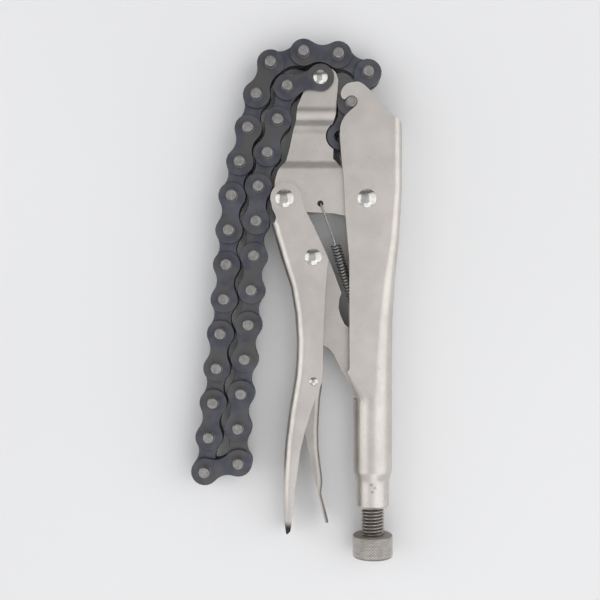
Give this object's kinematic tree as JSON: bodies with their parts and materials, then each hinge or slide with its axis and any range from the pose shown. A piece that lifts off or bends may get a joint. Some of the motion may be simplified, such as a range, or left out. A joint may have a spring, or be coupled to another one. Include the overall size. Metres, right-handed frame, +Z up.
{
  "type": "locking chain pliers",
  "caption": "Locking pliers of folded plated steel with a blued roller chain riveted to the jaw, a toggle, a release lever and an adjusting screw with a knurled knob.",
  "frame": {"origin": "centre of the tool's footprint, on the surface it lies on", "axes": "+Y along the handles towards the chain hook, +X towards the fixed handle, +Z up, along the rivets"},
  "size_m": [0.0966, 0.2388, 0.0186],
  "materials": {
    "plated_steel": "satin nickel plating",
    "rivet_steel": "polished",
    "blued_steel": "blued, satin",
    "screw_steel": "satin plating",
    "spring_wire": "dark, satin"
  },
  "bodies": {
    "frame_body": {"fixed_handle": "plated_steel", "rivet_main": "rivet_steel", "spring_post": "plated_steel", "return_spring": "spring_wire"},
    "jaw_body": {"jaw": "plated_steel", "rivet_chain": "rivet_steel"},
    "grip_body": {"movable_handle": "plated_steel", "rivet_jaw": "rivet_steel", "rivet_toggle": "rivet_steel", "rivet_lever": "rivet_steel"},
    "toggle_body": {"toggle_link": "plated_steel"},
    "lever_body": {"release_lever": "plated_steel"},
    "screw_body": {"adjusting_screw": "screw_steel"},
    "knob_body": {"screw_knob": "screw_steel"},
    "link_01_body": {"link_01": "blued_steel"},
    "link_02_body": {"link_02": "blued_steel"},
    "link_03_body": {"link_03": "blued_steel"},
    "link_04_body": {"link_04": "blued_steel"},
    "link_05_body": {"link_05": "blued_steel"},
    "link_06_body": {"link_06": "blued_steel"},
    "link_07_body": {"link_07": "blued_steel"},
    "link_08_body": {"link_08": "blued_steel"},
    "link_09_body": {"link_09": "blued_steel"},
    "link_10_body": {"link_10": "blued_steel"},
    "link_11_body": {"link_11": "blued_steel"},
    "link_12_body": {"link_12": "blued_steel"},
    "link_13_body": {"link_13": "blued_steel"},
    "link_14_body": {"link_14": "blued_steel"},
    "link_15_body": {"link_15": "blued_steel"},
    "link_16_body": {"link_16": "blued_steel"},
    "link_17_body": {"link_17": "blued_steel"},
    "link_18_body": {"link_18": "blued_steel"},
    "link_19_body": {"link_19": "blued_steel"},
    "link_20_body": {"link_20": "blued_steel"},
    "link_21_body": {"link_21": "blued_steel"},
    "link_22_body": {"link_22": "blued_steel"},
    "link_23_body": {"link_23": "blued_steel"},
    "link_24_body": {"link_24": "blued_steel"},
    "link_25_body": {"link_25": "blued_steel"},
    "link_26_body": {"link_26": "blued_steel"},
    "link_27_body": {"link_27": "blued_steel"},
    "link_28_body": {"link_28": "blued_steel"},
    "link_29_body": {"link_29": "blued_steel"},
    "link_30_body": {"link_30": "blued_steel"}
  },
  "joints": [
    {"name": "grip_open", "type": "hinge", "parent": "jaw_body", "child": "grip_body", "pos_m": [-0.0054, 0.04592, 0.0093], "axis": [0, 0, -1], "range_deg": [0, 28]},
    {"name": "jaw_swing", "type": "hinge", "parent": "frame_body", "child": "jaw_body", "pos_m": [0.0321, 0.04592, 0.0093], "axis": [0, 0, 1], "range_deg": [-0.05, 3.05], "deforming": ["return_spring"]},
    {"name": "toggle_swing", "type": "hinge", "parent": "grip_body", "child": "toggle_body", "pos_m": [0.0076, 0.01912, 0.0093], "axis": [0, 0, 1], "range_deg": [-0.05, 37.05]},
    {"name": "lever_press", "type": "hinge", "parent": "grip_body", "child": "lever_body", "pos_m": [0.0078, -0.03758, 0.0093], "axis": [0, 0, -1], "range_deg": [0, 8], "stiffness_Nm_per_rad": 0.05},
    {"name": "screw_travel", "type": "slide", "parent": "frame_body", "child": "screw_body", "axis": [0, -1, 0], "range_m": [0, 0.0075]},
    {"name": "knob_turn", "type": "hinge", "parent": "screw_body", "child": "knob_body", "pos_m": [0.0352, -0.10828, 0.0093], "axis": [0, -1, 0], "range_deg": [-1, 1801]},
    {"name": "link_01_turn", "type": "hinge", "parent": "jaw_body", "child": "link_01_body", "pos_m": [0.011, 0.10172, 0.0093], "axis": [0, 0, 1], "range_deg": [-10.55, 0.05]},
    {"name": "link_02_turn", "type": "hinge", "parent": "link_01_body", "child": "link_02_body", "pos_m": [-0.00426, 0.09734, 0.0093], "axis": [0, 0, 1], "range_deg": [-0.05, 12.48]},
    {"name": "link_03_turn", "type": "hinge", "parent": "link_02_body", "child": "link_03_body", "pos_m": [-0.00864, 0.08208, 0.0093], "axis": [0, 0, 1], "range_deg": [-0.05, 1.32]},
    {"name": "link_04_turn", "type": "hinge", "parent": "link_03_body", "child": "link_04_body", "pos_m": [-0.01328, 0.0669, 0.0093], "axis": [0, 0, 1], "range_deg": [-4.84, 0.05]},
    {"name": "link_05_turn", "type": "hinge", "parent": "frame_body", "child": "link_05_body", "pos_m": [-0.01739, 0.05156, 0.0093], "axis": [0, 0, 1], "range_deg": [-17.45, 0.05]},
    {"name": "link_06_turn", "type": "hinge", "parent": "link_05_body", "child": "link_06_body", "pos_m": [-0.01849, 0.03573, 0.0093], "axis": [0, 0, 1], "range_deg": [-0.05, 6.16]},
    {"name": "link_07_turn", "type": "hinge", "parent": "link_06_body", "child": "link_07_body", "pos_m": [-0.0196, 0.01989, 0.0093], "axis": [0, 0, 1], "range_deg": [-0.05, 1.32]},
    {"name": "link_08_turn", "type": "hinge", "parent": "link_07_body", "child": "link_08_body", "pos_m": [-0.02071, 0.00406, 0.0093], "axis": [0, 0, 1], "range_deg": [-4.68, 0.05]},
    {"name": "link_09_turn", "type": "hinge", "parent": "link_08_body", "child": "link_09_body", "pos_m": [-0.02209, -0.01176, 0.0093], "axis": [0, 0, 1], "range_deg": [-8.16, 0.05]},
    {"name": "link_10_turn", "type": "hinge", "parent": "link_09_body", "child": "link_10_body", "pos_m": [-0.02375, -0.02755, 0.0093], "axis": [0, 0, 1], "range_deg": [-3.25, 0.05]},
    {"name": "link_11_turn", "type": "hinge", "parent": "link_10_body", "child": "link_11_body", "pos_m": [-0.02541, -0.04333, 0.0093], "axis": [0, 0, 1], "range_deg": [-0.05, 6.35]},
    {"name": "link_12_turn", "type": "hinge", "parent": "link_11_body", "child": "link_12_body", "pos_m": [-0.02679, -0.05915, 0.0093], "axis": [0, 0, 1], "range_deg": [-1.31, 0.05]},
    {"name": "link_13_turn", "type": "hinge", "parent": "link_12_body", "child": "link_13_body", "pos_m": [-0.02662, -0.07502, 0.0093], "axis": [0, 0, 1], "range_deg": [-0.05, 13.91]},
    {"name": "link_22_turn", "type": "hinge", "parent": "frame_body", "child": "link_22_body", "pos_m": [-0.02598, 0.06287, 0.0093], "axis": [0, 0, 1], "range_deg": [-18.74, 0.05]},
    {"name": "link_21_turn", "type": "hinge", "parent": "link_22_body", "child": "link_21_body", "pos_m": [-0.02955, 0.0474, 0.0093], "axis": [0, 0, 1], "range_deg": [-0.05, 6.11]},
    {"name": "link_20_turn", "type": "hinge", "parent": "link_21_body", "child": "link_20_body", "pos_m": [-0.03094, 0.03159, 0.0093], "axis": [0, 0, 1], "range_deg": [-0.05, 13.39]},
    {"name": "link_19_turn", "type": "hinge", "parent": "link_20_body", "child": "link_19_body", "pos_m": [-0.03205, 0.01575, 0.0093], "axis": [0, 0, 1], "range_deg": [-13.44, 0.05]},
    {"name": "link_18_turn", "type": "hinge", "parent": "link_19_body", "child": "link_18_body", "pos_m": [-0.03315, -0.00009, 0.0093], "axis": [0, 0, 1], "range_deg": [-9.95, 0.05]},
    {"name": "link_17_turn", "type": "hinge", "parent": "link_18_body", "child": "link_17_body", "pos_m": [-0.03481, -0.01587, 0.0093], "axis": [0, 0, 1], "range_deg": [-0.05, 1.33]},
    {"name": "link_16_turn", "type": "hinge", "parent": "link_17_body", "child": "link_16_body", "pos_m": [-0.03647, -0.03166, 0.0093], "axis": [0, 0, 1], "range_deg": [-0.05, 3.13]},
    {"name": "link_15_turn", "type": "hinge", "parent": "link_16_body", "child": "link_15_body", "pos_m": [-0.03813, -0.04745, 0.0093], "axis": [0, 0, 1], "range_deg": [-1.29, 0.05]},
    {"name": "link_14_turn", "type": "hinge", "parent": "link_15_body", "child": "link_14_body", "pos_m": [-0.04007, -0.06321, 0.0093], "axis": [0, 0, 1], "range_deg": [-1.29, 0.05]},
    {"name": "link_29_turn", "type": "hinge", "parent": "frame_body", "child": "link_29_body", "pos_m": [0.025, 0.08992, 0.0093], "axis": [0, 0, 1], "range_deg": [-0.05, 15.66]},
    {"name": "link_28_turn", "type": "hinge", "parent": "link_29_body", "child": "link_28_body", "pos_m": [0.0327, 0.1038, 0.0093], "axis": [0, 0, 1], "range_deg": [-19.12, 0.05]},
    {"name": "link_27_turn", "type": "hinge", "parent": "link_28_body", "child": "link_27_body", "pos_m": [0.01909, 0.11198, 0.0093], "axis": [0, 0, 1], "range_deg": [-0.05, 10.16]},
    {"name": "link_26_turn", "type": "hinge", "parent": "link_27_body", "child": "link_26_body", "pos_m": [0.00325, 0.11308, 0.0093], "axis": [0, 0, 1], "range_deg": [-6.59, 0.05]},
    {"name": "link_25_turn", "type": "hinge", "parent": "link_26_body", "child": "link_25_body", "pos_m": [-0.01185, 0.10818, 0.0093], "axis": [0, 0, 1], "range_deg": [-0.05, 4.01]},
    {"name": "link_24_turn", "type": "hinge", "parent": "link_25_body", "child": "link_24_body", "pos_m": [-0.0183, 0.09368, 0.0093], "axis": [0, 0, 1], "range_deg": [-9.15, 0.05]},
    {"name": "link_23_turn", "type": "hinge", "parent": "link_24_body", "child": "link_23_body", "pos_m": [-0.02214, 0.07827, 0.0093], "axis": [0, 0, 1], "range_deg": [-0.05, 18.95]},
    {"name": "link_30_turn", "type": "hinge", "parent": "link_29_body", "child": "link_30_body", "pos_m": [0.025, 0.08992, 0.0093], "axis": [0, 0, 1], "range_deg": [-15.66, 0.05]}
  ],
  "couplings": [
    {"joint": "jaw_swing", "follows": "grip_open", "ratio": 0.10714},
    {"joint": "toggle_swing", "follows": "grip_open", "ratio": 1.3214},
    {"joint": "knob_turn", "follows": "screw_travel", "rad_per_m": 4188.8},
    {"joint": "link_01_turn", "follows": "grip_open", "ratio": -0.375},
    {"joint": "link_02_turn", "follows": "grip_open", "ratio": 0.44393},
    {"joint": "link_03_turn", "follows": "grip_open", "ratio": 0.045357},
    {"joint": "link_04_turn", "follows": "grip_open", "ratio": -0.17107},
    {"joint": "link_05_turn", "follows": "grip_open", "ratio": -0.62143},
    {"joint": "link_06_turn", "follows": "grip_open", "ratio": 0.21821},
    {"joint": "link_07_turn", "follows": "grip_open", "ratio": 0.045357},
    {"joint": "link_08_turn", "follows": "grip_open", "ratio": -0.16536},
    {"joint": "link_09_turn", "follows": "grip_open", "ratio": -0.28964},
    {"joint": "link_10_turn", "follows": "grip_open", "ratio": -0.11429},
    {"joint": "link_11_turn", "follows": "grip_open", "ratio": 0.225},
    {"joint": "link_12_turn", "follows": "grip_open", "ratio": -0.045},
    {"joint": "link_13_turn", "follows": "grip_open", "ratio": 0.495},
    {"joint": "link_22_turn", "follows": "grip_open", "ratio": -0.6675},
    {"joint": "link_21_turn", "follows": "grip_open", "ratio": 0.21643},
    {"joint": "link_20_turn", "follows": "grip_open", "ratio": 0.47643},
    {"joint": "link_19_turn", "follows": "grip_open", "ratio": -0.47821},
    {"joint": "link_18_turn", "follows": "grip_open", "ratio": -0.35357},
    {"joint": "link_17_turn", "follows": "grip_open", "ratio": 0.045714},
    {"joint": "link_16_turn", "follows": "grip_open", "ratio": 0.11},
    {"joint": "link_15_turn", "follows": "grip_open", "ratio": -0.044286},
    {"joint": "link_14_turn", "follows": "grip_open", "ratio": -0.044286},
    {"joint": "link_29_turn", "follows": "grip_open", "ratio": 0.5575},
    {"joint": "link_28_turn", "follows": "grip_open", "ratio": -0.68107},
    {"joint": "link_27_turn", "follows": "grip_open", "ratio": 0.36107},
    {"joint": "link_26_turn", "follows": "grip_open", "ratio": -0.23357},
    {"joint": "link_25_turn", "follows": "grip_open", "ratio": 0.14143},
    {"joint": "link_24_turn", "follows": "grip_open", "ratio": -0.325},
    {"joint": "link_23_turn", "follows": "grip_open", "ratio": 0.675},
    {"joint": "link_30_turn", "follows": "grip_open", "ratio": -0.5575}
  ]
}
